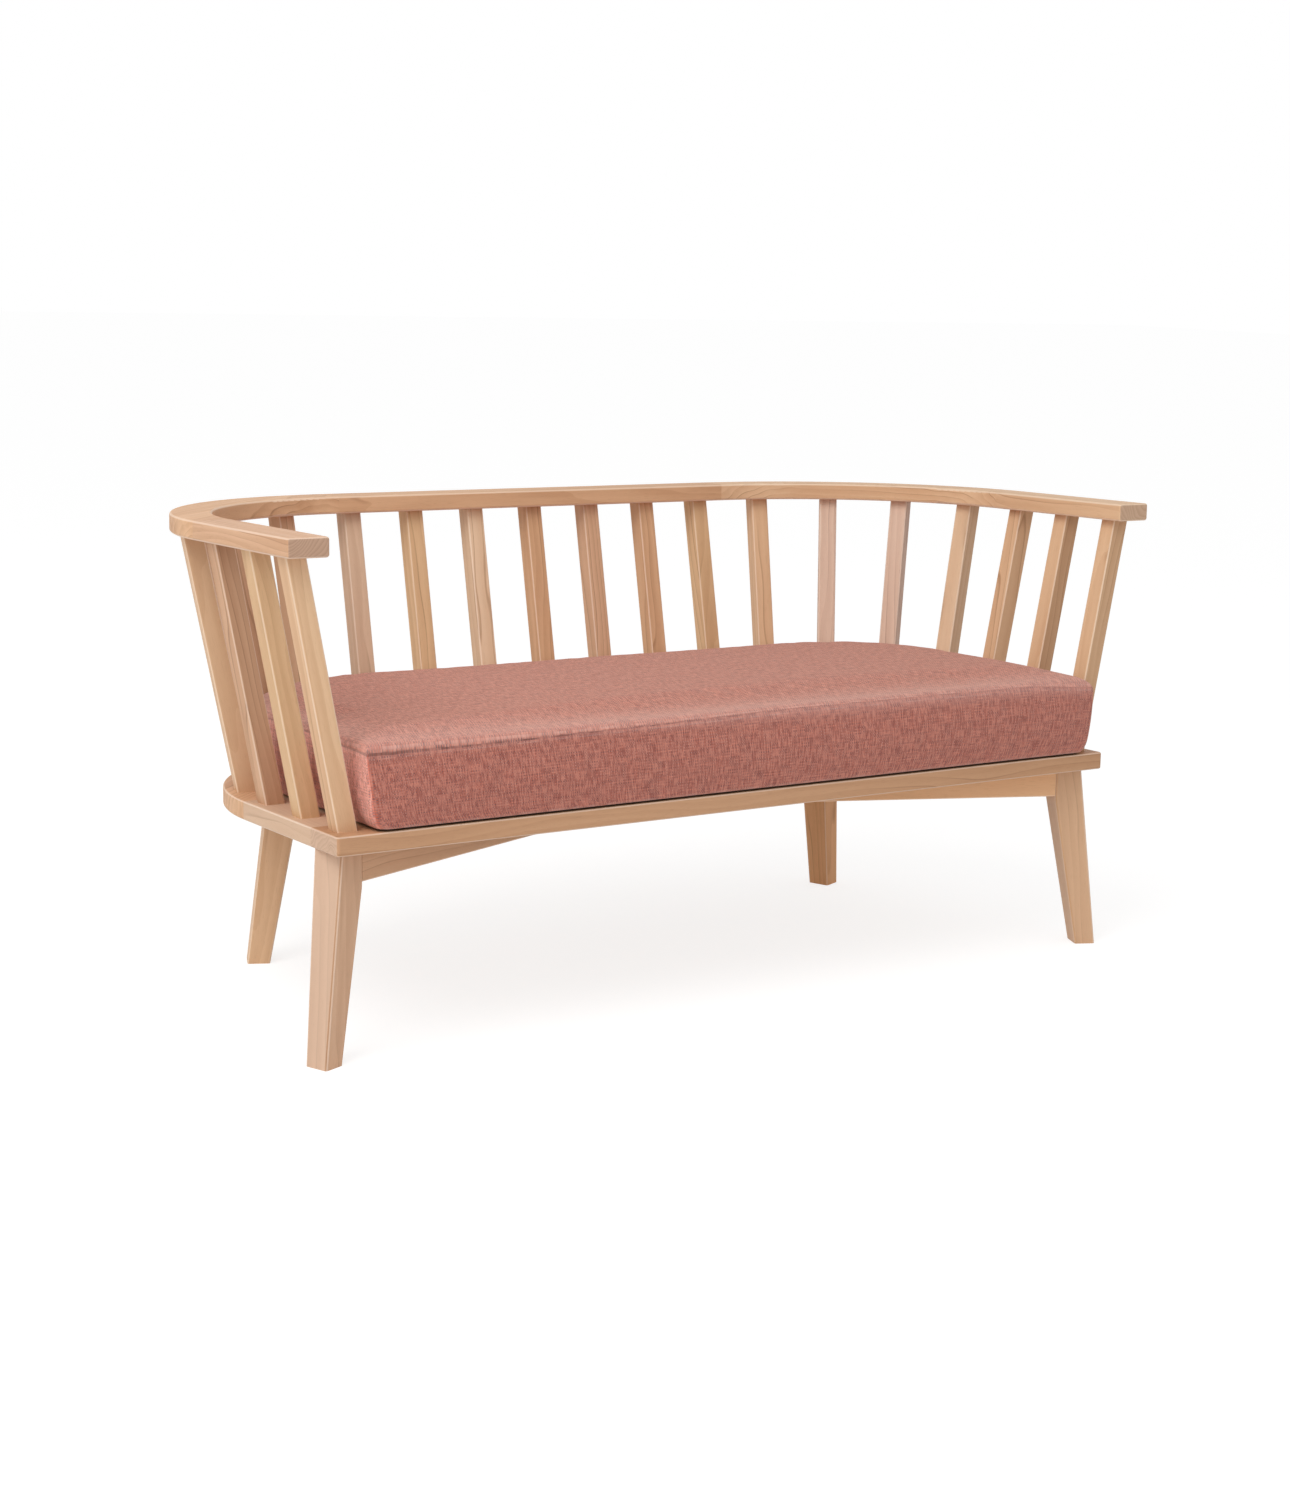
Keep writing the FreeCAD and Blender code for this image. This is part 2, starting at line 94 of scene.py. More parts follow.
def speckle(tree, place, scale, detail=0.0, roughness=0.5):
    """Noise, stretched by a scale along each axis."""
    stretched = calc_vector(tree, "MULTIPLY", place, scale)
    inputs = {"Vector": stretched, "Scale": 1.0, "Detail": detail, "Roughness": roughness}
    return add_node(tree, "TexNoise", inputs)


def new_group(name, inputs, outputs):
    """Empty node group with named sockets; returns the tree, its inputs and its outputs."""
    tree = bpy.data.node_groups.new(name, "ShaderNodeTree")
    for side, sockets in (("INPUT", inputs), ("OUTPUT", outputs)):
        for label, kind in sockets.items():
            tree.interface.new_socket(label, in_out=side, socket_type="NodeSocket" + kind)
    return tree, tree.nodes.new("NodeGroupInput").outputs, tree.nodes.new("NodeGroupOutput").inputs


def paint(red, green, blue):
    """Colour socket's value for a colour as a screen shows it, from 0 to 255."""
    shown = np.array((red, green, blue)) / 255
    linear = np.where(shown > 0.04045, ((shown + 0.055) / 1.055) ** 2.4, shown / 12.92)
    return (*linear.tolist(), 1.0)


def timber_group():
    """Sawn timber: growth rings round a heart line beside the piece, cut by the piece's own faces.

    The place is first turned into the piece's own frame: along the grain, across it and through it. The
    rings' number is the distance from the heart line over the ring's width, after a slow wander, and each
    ring darkens to a thin vein. Streaks, fibres and pores are noise drawn out along the grain. Sawn ends take
    a colour of their own with finer rings. The faces that look across or through the grain can take painted
    shade, and eased edges take a painted highlight.
    """
    ring_width, end_ring_width = 0.0115, 0.0055
    wander_reach = 0.055
    log_apart = (1.7, 0.51, 0.97)
    mean_depth = 0.89
    inputs = dict.fromkeys(("Place", "Normal", "Centre", "Along", "Across", "Edge", "Heart"), "Vector")
    inputs.update(dict.fromkeys(("Seed", "Figure", "Shade_Across", "Shade_Through"), "Float"))
    inputs.update(dict.fromkeys(("Pale", "Deep", "Vein", "End"), "Color"))
    outputs = {"Color": "Color", "Roughness": "Float", "Height": "Float"}
    tree, given, result = new_group("timber_grain", inputs, outputs)

    def facing(axis):
        """1 where a face looks along an axis, either way, and 0 where the face lies along it."""
        return calc(tree, "ABSOLUTE", dot(tree, given["Normal"], axis))

    from_centre = calc_vector(tree, "SUBTRACT", given["Place"], given["Centre"])
    through_axis = calc_vector(tree, "CROSS_PRODUCT", given["Along"], given["Across"])
    along = dot(tree, from_centre, given["Along"])
    across = dot(tree, from_centre, given["Across"])
    through = dot(tree, from_centre, through_axis)
    place = add_node(tree, "CombineXYZ", {0: along, 1: across, 2: through})
    log = add_node(tree, "CombineXYZ", {0: given["Seed"], 1: given["Seed"], 2: given["Seed"]})
    place = calc_vector(tree, "MULTIPLY_ADD", log, log_apart, place)

    heart_slant, heart_across, heart_through = split(tree, given["Heart"])
    side = calc(tree, "SUBTRACT", calc(tree, "MULTIPLY_ADD", along, heart_slant, across), heart_across)
    deep = calc(tree, "SUBTRACT", through, heart_through)
    distance = calc(tree, "MULTIPLY_ADD", side, side, calc(tree, "MULTIPLY", deep, deep))
    wander = speckle(tree, place, (2.4, 15.0, 15.0), detail=2.0)
    wander = calc(tree, "SUBTRACT", wander, 0.5)
    distance = calc(tree, "MULTIPLY_ADD", wander, wander_reach, calc(tree, "SQRT", distance))
    ring = calc(tree, "FRACT", calc(tree, "DIVIDE", distance, ring_width))
    end_ring = calc(tree, "FRACT", calc(tree, "DIVIDE", distance, end_ring_width))
    band = rise(tree, ring, 0.0, 0.85)
    vein = calc(tree, "MULTIPLY", rise(tree, ring, 0.82, 0.95), fall(tree, ring, 0.95, 1.0))
    patches = rise(tree, speckle(tree, place, (2.2, 26.0, 26.0), detail=1.0), 0.44, 0.64)
    vein = calc(tree, "MULTIPLY", calc(tree, "MULTIPLY", vein, patches), given["Figure"])

    streak = speckle(tree, place, (3.5, 95.0, 95.0), detail=2.0)
    fibre = speckle(tree, place, (45.0, 1100.0, 1100.0), detail=1.0)
    drift = speckle(tree, place, (1.3, 20.0, 20.0), detail=1.0)
    pores = fall(tree, speckle(tree, place, (70.0, 1500.0, 1500.0)), 0.24, 0.36)
    depth = -mean_depth
    for mask, share in ((band, 0.22), (streak, 0.50), (drift, 0.95), (fibre, 0.10)):
        depth = calc(tree, "MULTIPLY_ADD", mask, share, depth)
    depth = rise(tree, calc(tree, "MULTIPLY_ADD", depth, given["Figure"], 0.5), 0.0, 1.0)
    colour = blend_colours(tree, depth, given["Pale"], given["Deep"])
    colour = blend_colours(tree, calc(tree, "MULTIPLY", pores, 0.12), colour, given["Vein"])

    end = rise(tree, facing(given["Along"]), 0.75, 0.95)
    end_share = calc(tree, "MULTIPLY", calc(tree, "MULTIPLY", end, 0.75), given["Figure"])
    colour = blend_colours(tree, end_share, colour, blend_colours(tree, 0.60, given["Deep"], given["End"]))
    # The last two masks paint shade on the faces that look across and through the grain, toward the vein
    # colour.
    for mask, share in (
        (calc(tree, "MULTIPLY", end_share, rise(tree, end_ring, 0.25, 0.95)), 0.32),
        (vein, 0.50),
        (rise(tree, facing(given["Across"]), 0.80, 0.97), given["Shade_Across"]),
        (rise(tree, facing(through_axis), 0.80, 0.97), given["Shade_Through"]),
    ):
        colour = blend_colours(tree, calc(tree, "MULTIPLY", mask, share), colour, given["Vein"])

    # Eased edges take a painted highlight: paler where the rounded arris would catch the light.
    facing_edge = facing(given["Edge"])
    past_face, before_side = rise(tree, facing_edge, 0.25, 0.45), fall(tree, facing_edge, 0.86, 0.96)
    eased_edge = calc(tree, "MULTIPLY", past_face, before_side)
    edge_highlight = blend_colours(tree, 0.40, given["Pale"], (1.0, 0.93, 0.84, 1.0))
    colour = blend_colours(tree, calc(tree, "MULTIPLY", eased_edge, 0.60), colour, edge_highlight)

    rough = calc(tree, "MULTIPLY_ADD", streak, 0.18, 0.40)
    rough = calc(tree, "MULTIPLY_ADD", end, 0.14, rough)
    height = calc(tree, "MULTIPLY_ADD", fibre, 0.5, calc(tree, "MULTIPLY", streak, 0.5))
    height = calc(tree, "MULTIPLY_ADD", pores, -0.5, height)
    tree.links.new(colour, result["Color"])
    tree.links.new(rough, result["Roughness"])
    tree.links.new(height, result["Height"])
    return tree


timber_grain = timber_group()
timber_tones = {
    "honey": (paint(222, 180, 142), paint(196, 150, 113), paint(132, 90, 62)),
    "straw": (paint(226, 190, 149), paint(204, 164, 124), paint(138, 103, 72)),
    "rosy": (paint(217, 176, 143), paint(191, 147, 114), paint(128, 90, 66)),
    "pale": (paint(227, 190, 153), paint(208, 166, 129), paint(150, 108, 78)),
    "blush": (paint(227, 198, 177), paint(208, 176, 155), paint(148, 110, 94)),
    "tan": (paint(204, 160, 125), paint(176, 131, 97), paint(116, 78, 52)),
    "amber": (paint(234, 181, 135), paint(209, 154, 109), paint(136, 90, 57)),
    "apricot": (paint(244, 198, 155), paint(225, 174, 131), paint(152, 106, 74)),
    "ash": (paint(217, 186, 158), paint(197, 162, 135), paint(144, 108, 86)),
    "cream": (paint(236, 207, 176), paint(219, 184, 150), paint(160, 120, 90)),
}
sawn_grey = paint(184, 161, 147)
log_numbers = itertools.count(1)


def grain_frame(piece):
    """Middle of a piece and its two grain directions: its longest line, and the level line across that.

    The longest line is the first principal axis of the triangles' middles, weighted by their areas.
    """
    mesh = piece.data
    points = np.empty(len(mesh.vertices) * 3, np.float32)
    mesh.vertices.foreach_get("co", points)
    points = points.reshape(-1, 3).astype(float)
    corners = np.empty(len(mesh.loops), np.int32)
    mesh.loops.foreach_get("vertex_index", corners)
    triangles = points[corners.reshape(-1, 3)]
    normals = np.cross(triangles[:, 1] - triangles[:, 0], triangles[:, 2] - triangles[:, 0])
    areas = np.linalg.norm(normals, axis=1)
    middles = triangles.mean(axis=1)
    centre = np.average(middles, axis=0, weights=areas)
    spread = (middles - centre) * np.sqrt(areas)[:, None]
    along = np.linalg.svd(spread, full_matrices=False)[2][0]
    along *= np.sign(along[np.abs(along).argmax()])
    across = np.cross((0.0, 0.0, 1.0), along)
    return centre, along, across / np.linalg.norm(across)


def timber(name, tone, figure=1.0, slant=0.06, shade_across=0.0, quarter=0.0, end=sawn_grey):
    """Gives one wooden piece its own material: grain along the piece, cut from its own stretch of the log.

    Figure is how lively the grain is, and slant how far the rings may lean along the piece. The two after
    slant paint shade on the faces across and through the grain. End is the colour of the sawn ends.
    """
    log_number = next(log_numbers)
    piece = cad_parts[name]
    centre, along, across = grain_frame(piece)
    upright = abs(along[2]) > 0.7
    edge = across if upright else np.cross(along, across)
    luck = np.random.default_rng(log_number)
    angle = luck.uniform(0, 2 * math.pi)
    reach = luck.uniform(0.035, 0.085)
    heart = (luck.uniform(-slant, slant), reach * math.cos(angle), reach * math.sin(angle))
    pale, deep, vein = timber_tones[tone]

    material = bpy.data.materials.new("timber_" + name)
    material.use_nodes = True
    tree = material.node_tree
    shader = tree.nodes["Principled BSDF"]
    grain = tree.nodes.new("ShaderNodeGroup")
    grain.node_tree = timber_grain
    tree.links.new(tree.nodes.new("ShaderNodeTexCoord").outputs["Object"], grain.inputs["Place"])
    tree.links.new(tree.nodes.new("ShaderNodeNewGeometry").outputs["Normal"], grain.inputs["Normal"])
    values = {
        "Centre": tuple(centre), "Along": tuple(along), "Across": tuple(across), "Edge": tuple(edge),
        "Heart": heart, "Seed": log_number, "Figure": figure, "Shade_Across": shade_across, "Shade_Through": quarter,
        "Pale": pale, "Deep": deep, "Vein": vein, "End": end,
    }
    for label, value in values.items():
        grain.inputs[label].default_value = value
    relief = {"Height": grain.outputs["Height"], "Strength": 0.25, "Distance": 0.0006}
    tree.links.new(grain.outputs["Color"], shader.inputs["Base Color"])
    tree.links.new(grain.outputs["Roughness"], shader.inputs["Roughness"])
    tree.links.new(add_node(tree, "Bump", relief), shader.inputs["Normal"])
    shader.inputs["Specular IOR Level"].default_value = 0.12
    piece.data.materials.clear()
    piece.data.materials.append(material)


# The front left leg's quarter value paints shade on its faces through the grain.
timber("leg_front_left", "rosy", figure=0.9, quarter=0.26)
timber("leg_front_right", "honey", figure=0.6)
timber("leg_back_left", "pale", figure=0.8)
timber("leg_back_right", "amber")

# Braces: two boards on edge that cross under the seat and tie each front leg to the back leg across from it.
# They are half-lapped where they cross, and tenoned into the legs.
timber("brace_front_left_to_back_right", "rosy", figure=0.6)
timber("brace_front_right_to_back_left", "apricot", figure=0.6)

# Screws: four steel wood screws, sunk into the braces from below, that hold the seat frame down on them.
# Only their dull heads can be seen, deep in their recesses.
steel = bpy.data.materials.new("screw_steel_dull")
steel.use_nodes = True
steel_tree = steel.node_tree
steel_shader = steel_tree.nodes["Principled BSDF"]
steel_place = steel_tree.nodes.new("ShaderNodeTexCoord").outputs["Object"]
steel_cloud = speckle(steel_tree, steel_place, (900.0, 900.0, 900.0), detail=3.0)
steel_colour = blend_colours(steel_tree, steel_cloud, paint(170, 170, 168), paint(128, 127, 124))
steel_tree.links.new(steel_colour, steel_shader.inputs["Base Color"])
steel_rough = calc(steel_tree, "MULTIPLY_ADD", steel_cloud, 0.3, 0.25)
steel_tree.links.new(steel_rough, steel_shader.inputs["Roughness"])
steel_shader.inputs["Metallic"].default_value = 1.0
for corner in ("front_left", "front_right", "back_left", "back_right"):
    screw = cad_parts["screw_" + corner].data
    screw.materials.clear()
    screw.materials.append(steel)

# Seat frame: a front board across the whole width, two short sides, two corners sawn to the bend and a back.
# The boards are tenoned end to end, bored for the spindles and grooved inside for the slats.
timber("seat_front", "tan", figure=0.6, end=paint(252, 236, 219))
timber("seat_side_left", "ash", figure=0.6)
timber("seat_side_right", "honey")
timber("seat_corner_left", "honey")
timber("seat_corner_right", "rosy")
timber("seat_back", "honey")

# Slats: ten thin boards from front to back that carry the cushion, tongued into the frame's groove.
# They are offcuts of the same timber, hidden while the cushion lies on them.
slat_tones = ("honey", "rosy", "straw", "tan", "honey", "straw", "honey", "rosy", "straw", "honey")
for number, tone in enumerate(slat_tones, start=1):
    timber("slat_%02d" % number, tone)

# Spindles: twenty-one square bars, evenly spaced round the back and leaning outwards from seat to rail.
# Each is planed with eased edges and has a round tenon at both ends.
spindle_tones = (
    "pale", "straw", "rosy", "pale", "honey", "rosy", "rosy", "ash", "straw", "cream", "honey",
    "rosy", "honey", "straw", "pale", "blush", "blush", "cream", "pale", "pale", "pale",
)
# Painted shade on the face across the grain of some spindles, where neighbouring spindles shade it.
spindle_shade = {3: 0.25, 4: 0.20, 10: 0.15, 17: 0.35, 18: 0.40, 19: 0.15, 20: 0.40, 21: 0.28}
for number, tone in enumerate(spindle_tones, start=1):
    timber("spindle_%02d" % number, tone, shade_across=spindle_shade.get(number, 0.0))

# Top rail: two straight arms, two corners sawn from wide boards and a straight back, tenoned end to end.
# The edges are eased all round, and the arms end in sawn end grain.
timber("rail_arm_left", "rosy", slant=0.2)
timber("rail_corner_left", "honey")
timber("rail_back", "honey")
timber("rail_corner_right", "pale")
timber("rail_arm_right", "pale", slant=0.2)

# Seat cushion: a block of foam in a sewn cover of two-tone heather cloth, lying loose between the spindles.
# The cover has a top panel, a border sewn to it along the upper edge and a plain dark underside. It has slid
# a little to the right, and its border leans outwards with the spindles.
seat_lean = math.radians(1.64)
seat_middle = np.array((0.0, -0.05473, 0.310))
seat_axes = np.array((
    (1.0, 0.0, 0.0),
    (0.0, math.cos(seat_lean), -math.sin(seat_lean)),
    (0.0, math.sin(seat_lean), math.cos(seat_lean)),
))
cushion_slip = 0.0120
cushion_half_width = 0.6470
cushion_front = -0.287
cushion_back_radius = 0.290
cushion_corner_radius, foot_corner_gain = 0.004, 0.010
border_height = 0.104
border_lean = 0.011
border_bulge = 0.002
front_rake = 0.004
under_tuck, under_tuck_share = 0.008, 0.04
front_tuck, front_tuck_share = 0.002, 0.02
under_height, under_seam_height, under_ease = 0.0008, 0.0035, 0.008
shoulder_height = 0.1215
crown_rise, crown_reach = 0.006, 0.12
cushion_cell = 0.0095
seam_cells = np.array((0.0, 0.0015, 0.0045, 0.009))
border_rows, border_crowding = 13, 1.5
bend_middle, bend_points = 0.362, 40
spindle_room = 0.2735
spindle_flare = 72 / 368
free_front, held_front = -0.278, -0.240


def eased(gap, width):
    """Smooth share of a gap in a width: 0 at no gap, 1 at the width and beyond."""
    share = np.clip(gap / width, 0, 1)
    return share * share * (3 - 2 * share)


def drawn_in(points):
    """Points of the cover moved to the room between the spindles, which press into its sides and back.

    The room is a bend's radius round the line between the two bends' middles, and it flares with the
    spindles. In front of the first spindles the cover keeps its own width.
    """
    spine_x = np.clip(points[..., 0], -bend_middle, bend_middle)
    spine = np.stack((spine_x, np.minimum(points[..., 1], 0)), axis=-1)
    away = points[..., :2] - spine
    reach = np.maximum(np.linalg.norm(away, axis=-1), 1e-6)
    over = np.maximum(reach - spindle_room - spindle_flare * points[..., 2], 0)
    held = eased(points[..., 1] - free_front, held_front - free_front)
    moved = points.copy()
    moved[..., :2] = spine + away * (1 - held * over / reach)[..., None]
    return moved


def border_section(share):
    """Plan of the cover at a share of the border's height: half width, front, back radius and corner radius.

    The sides and the back lean outwards, while the front leans back a little. All of them tuck in towards the
    lower seam and bulge halfway up.
    """
    bulge = border_bulge * (1 - (2 * share - 1) ** 2)
    tuck = border_lean * (1 - share) + under_tuck * math.exp(-share / under_tuck_share)
    front = cushion_front - front_rake * (1 - share) - bulge
    front += front_tuck * math.exp(-share / front_tuck_share)
    corner_radius = cushion_corner_radius + foot_corner_gain * (1 - share)
    return cushion_half_width - tuck + bulge, front, cushion_back_radius - tuck + bulge, corner_radius


half_width, front, back_radius, corner_radius = border_section(1.0)
stretches = np.array((
    half_width - corner_radius, corner_radius * math.pi / 2, -front - corner_radius,
    back_radius * math.pi / 2, half_width - back_radius,
))
stretch_ends = np.concatenate(([0.0], np.cumsum(stretches)))
front_corner = stretch_ends[1] + stretches[1] / 2
back_corner = stretch_ends[3] + stretches[3] / 2
half_round = stretch_ends[5]


def seam_height(length):
    """Height of the top seam at a signed length round from the middle of the front: lowest at the corners.

    The heights at a few lengths are joined by straight lines, and their mean over a short stretch is taken.
    """
    lengths, heights = np.array((
        (-front_corner - 0.195, 0.1125), (-front_corner - 0.08, 0.1085), (-front_corner - 0.03, 0.107),
        (-front_corner, 0.103), (-0.29, 0.109), (0.05, 0.1145), (0.52, 0.1148),
        (front_corner, 0.106), (front_corner + 0.04, 0.112), (front_corner + 0.2, 0.1135),
    )).T
    shifts = np.linspace(-0.012, 0.012, 7)
    shifted = [np.interp(length + shift, lengths, heights, period=2 * half_round) for shift in shifts]
    return np.mean(shifted, axis=0)


def roll_radius(length):
    """Radius of the upper edge's roll at a signed length round: tightest at the left front corner."""
    lengths, radii = np.array((
        (-half_round, 0.018), (-front_corner, 0.014), (-0.30, 0.018),
        (0.0, 0.025), (front_corner, 0.024), (half_round, 0.018),
    )).T
    return np.interp(length, lengths, radii)


def outline(length, share):
    """Plan of the cover at signed lengths from the middle of the front and at a share of the border.

    Half the outline is five stretches: front, small corner, side, large corner and back. Each counts 1 in the
    run, so that its ends stay above each other; negative lengths give the left half.
    """
    half_width, front, back_radius, corner_radius = border_section(share)
    turn = np.linspace(0, math.pi / 2, bend_points)
    quarter = turn / turn[-1]
    corner_x = half_width - corner_radius + corner_radius * np.sin(turn)
    corner_y = front + corner_radius - corner_radius * np.cos(turn)
    back_x = half_width - back_radius + back_radius * np.cos(turn)
    back_y = back_radius * np.sin(turn)
    x = np.concatenate(([0.0], corner_x, back_x, [0.0]))
    y = np.concatenate(([front], corner_y, back_y, [back_radius]))
    run = np.interp(np.abs(length), stretch_ends, np.arange(len(stretch_ends)))
    run_knots = np.concatenate(([0.0], 1 + quarter, 3 + quarter, [5.0]))
    return np.sign(length) * np.interp(run, run_knots, x) + cushion_slip, np.interp(run, run_knots, y)


def ring_points(length, share, rolled=True):
    """Points round the cover, set in from the outline where they reach the roll of the upper edge.

    The inset is that of a quarter circle under the shoulder, square to the outline's own direction.
    """
    step = 0.001
    x, y = outline(length, share)
    ahead, behind = outline(length + step, share), outline(length - step, share)
    run_x, run_y = ahead[0] - behind[0], ahead[1] - behind[1]
    height = under_seam_height + (seam_height(length) - under_seam_height) * share
    roll = roll_radius(length)
    climb = rolled * np.clip(height - shoulder_height + roll, 0, roll)
    inset = (roll - np.sqrt(roll * roll - climb * climb)) / np.hypot(run_x, run_y)
    return drawn_in(np.stack((x - run_y * inset, y + run_x * inset, height), axis=-1))


def seam_steps(length):
    """Shares along a side: even cells, and narrow ones at each end beside the seam."""
    inner = np.linspace(2 * seam_cells[-1], length - 2 * seam_cells[-1], round(length / cushion_cell))
    return np.concatenate((seam_cells, inner, length - seam_cells[::-1])) / length


steps_across = seam_steps(2 * front_corner)
steps_deep = seam_steps(back_corner - front_corner)
front_lengths = front_corner * (2 * steps_across - 1)
right_lengths = front_corner + (back_corner - front_corner) * steps_deep
back_lengths = (half_round - back_corner) * (2 * steps_across - 1)
back_lengths = np.where(back_lengths < 0, -half_round - back_lengths, half_round - back_lengths)
left_lengths = -right_lengths
ring_lengths = np.concatenate((
    front_lengths[:-1], right_lengths[:-1], back_lengths[:0:-1], left_lengths[:0:-1],
))
right_column = len(steps_across) - 1
corner_columns = (0, right_column)


def panel(share):
    """Grid between four edges of the cover, blended so that its rim is the ring at a share (Coons patch)."""
    front, right = ring_points(front_lengths, share), ring_points(right_lengths, share)
    back, left = ring_points(back_lengths, share), ring_points(left_lengths, share)
    across = steps_across[None, :, None]
    deep = steps_deep[:, None, None]
    edges = (1 - deep) * front[None] + deep * back[None]
    edges = edges + (1 - across) * left[:, None] + across * right[:, None]
    front_corners = (1 - across) * front[0] + across * front[-1]
    back_corners = (1 - across) * back[0] + across * back[-1]
    return edges - ((1 - deep) * front_corners + deep * back_corners)


def rim(grid):
    """Numbers of a grid's rim, round from the front left corner in the order of the ring."""
    return np.concatenate((grid[0, :-1], grid[:-1, -1], grid[-1, :0:-1], grid[:0:-1, 0]))


def nearest_on(ring, grid):
    """Number of the ring's point that is nearest in plan to each grid point, and its distance."""
    gaps = grid.reshape(-1, 1, 3)[..., :2] - ring[None, :, :2]
    squares = (gaps * gaps).sum(axis=2)
    shape = grid.shape[:-1]
    return squares.argmin(axis=1).reshape(shape), np.sqrt(squares.min(axis=1)).reshape(shape)


top = panel(1.0)
top_gap = nearest_on(ring_points(ring_lengths, 1.0), top)[1]
nearest, edge_gap = nearest_on(ring_points(ring_lengths, 1.0, rolled=False), top)
top_roll = roll_radius(ring_lengths)[nearest]
over = np.minimum(edge_gap, top_roll)
rolled_height = shoulder_height - top_roll + np.sqrt(over * (2 * top_roll - over))
top[..., 2] = np.where(top_gap > 0, rolled_height, top[..., 2])
top[..., 2] += crown_rise * (1 - np.exp(-top_gap / crown_reach))
under = panel(0.0)
under_gap = nearest_on(ring_points(ring_lengths, 0.0), under)[1]
under[..., 2] = under_height + (under_seam_height - under_height) * np.exp(-under_gap / under_ease)
seam_share = seam_cells[1] / border_height
upper_shares = 1 - np.linspace(1, 0, border_rows + 2)[1:-1] ** border_crowding
row_shares = np.concatenate(([0.0, seam_share], upper_shares, [1.0]))
border = np.stack([ring_points(ring_lengths, share) for share in row_shares[1:-1]])
cushion_points = np.concatenate((top.reshape(-1, 3), under.reshape(-1, 3), border.reshape(-1, 3)))

top_numbers = np.arange(top_gap.size).reshape(top_gap.shape)
under_numbers = top_numbers + top_gap.size
border_numbers = 2 * top_gap.size + np.arange(border[..., 0].size).reshape(border.shape[:2])
ring_rows = np.vstack((rim(under_numbers)[None], border_numbers, rim(top_numbers)[None]))
ring_next = np.roll(ring_rows, -1, axis=1)


def quads(first, second, third, fourth):
    """Faces from four arrays of corner numbers."""
    return np.stack((first, second, third, fourth), axis=-1).reshape(-1, 4)


top_faces = quads(top_numbers[:-1, :-1], top_numbers[:-1, 1:], top_numbers[1:, 1:], top_numbers[1:, :-1])
under_faces = top_faces[:, (0, 3, 2, 1)] + top_gap.size
border_faces = quads(ring_rows[:-1], ring_next[:-1], ring_next[1:], ring_rows[1:])
cushion_faces = np.concatenate((top_faces, under_faces, border_faces))
flat_faces = cushion_faces[:len(top_faces) + len(under_faces)]

ring_steps = ring_points(np.append(ring_lengths, ring_lengths[0]), 1.0)
ring_walk = np.concatenate(([0.0], np.cumsum(np.linalg.norm(np.diff(ring_steps[:, :2], axis=0), axis=1))))
walk_start, row_low = np.meshgrid(ring_walk[:-1], row_shares[:-1] * border_height)
walk_end, row_high = np.meshgrid(ring_walk[1:], row_shares[1:] * border_height)
border_x = quads(walk_start, walk_end, walk_end, walk_start)
border_y = quads(row_low, row_low, row_high, row_high)
border_apart, far_off = 2.0, 1.0
border_cloth = np.stack((border_x, border_y), axis=-1)
cloth_places = np.concatenate((cushion_points[flat_faces][..., :2], border_cloth + (0.0, border_apart)))
flat_gaps = np.concatenate((top_gap.reshape(-1), under_gap.reshape(-1) + far_off))[flat_faces]
corner_walks = np.array((0.0, ring_walk[right_column], ring_walk[-1]))
corner_gaps = np.abs(border_x[..., None] - corner_walks).min(axis=-1)
seam_gaps = np.concatenate((
    np.stack((flat_gaps, np.full_like(flat_gaps, far_off)), axis=-1),
    np.stack((border_y - border_height, corner_gaps), axis=-1),
))

mesh = bpy.data.meshes.new("cushion_cover")
mesh.from_pydata((cushion_points @ seat_axes + seat_middle).tolist(), [], cushion_faces.tolist())
for name, values in (("cloth", cloth_places), ("seams", seam_gaps)):
    layer = mesh.uv_layers.new(name=name)
    layer.uv.foreach_set("vector", values.astype(np.float32).reshape(-1))
corner_crease = 0.8
crease = mesh.attributes.new("crease_edge", "FLOAT", "EDGE")
edge_ends = np.empty(len(mesh.edges) * 2, np.int32)
mesh.edges.foreach_get("vertices", edge_ends)
on_corner = np.zeros(len(cushion_points), bool)
on_corner[ring_rows[:, corner_columns]] = True
crease.data.foreach_set("value", corner_crease * on_corner[edge_ends].reshape(-1, 2).all(axis=1))
mesh.polygons.foreach_set("use_smooth", np.ones(len(cushion_faces), bool))
front_slot, under_slot, side_slot, top_slot = range(4)
border_slots = np.full((len(ring_rows) - 1, len(ring_lengths)), front_slot)
border_slots[:, right_column:] = side_slot
face_slots = np.concatenate((
    np.full(len(top_faces), top_slot), np.full(len(under_faces), under_slot), border_slots.ravel(),
))
mesh.polygons.foreach_set("material_index", face_slots.astype(np.int32))
cushion = bpy.data.objects.new("cushion_cover", mesh)
bpy.context.scene.collection.objects.link(cushion)


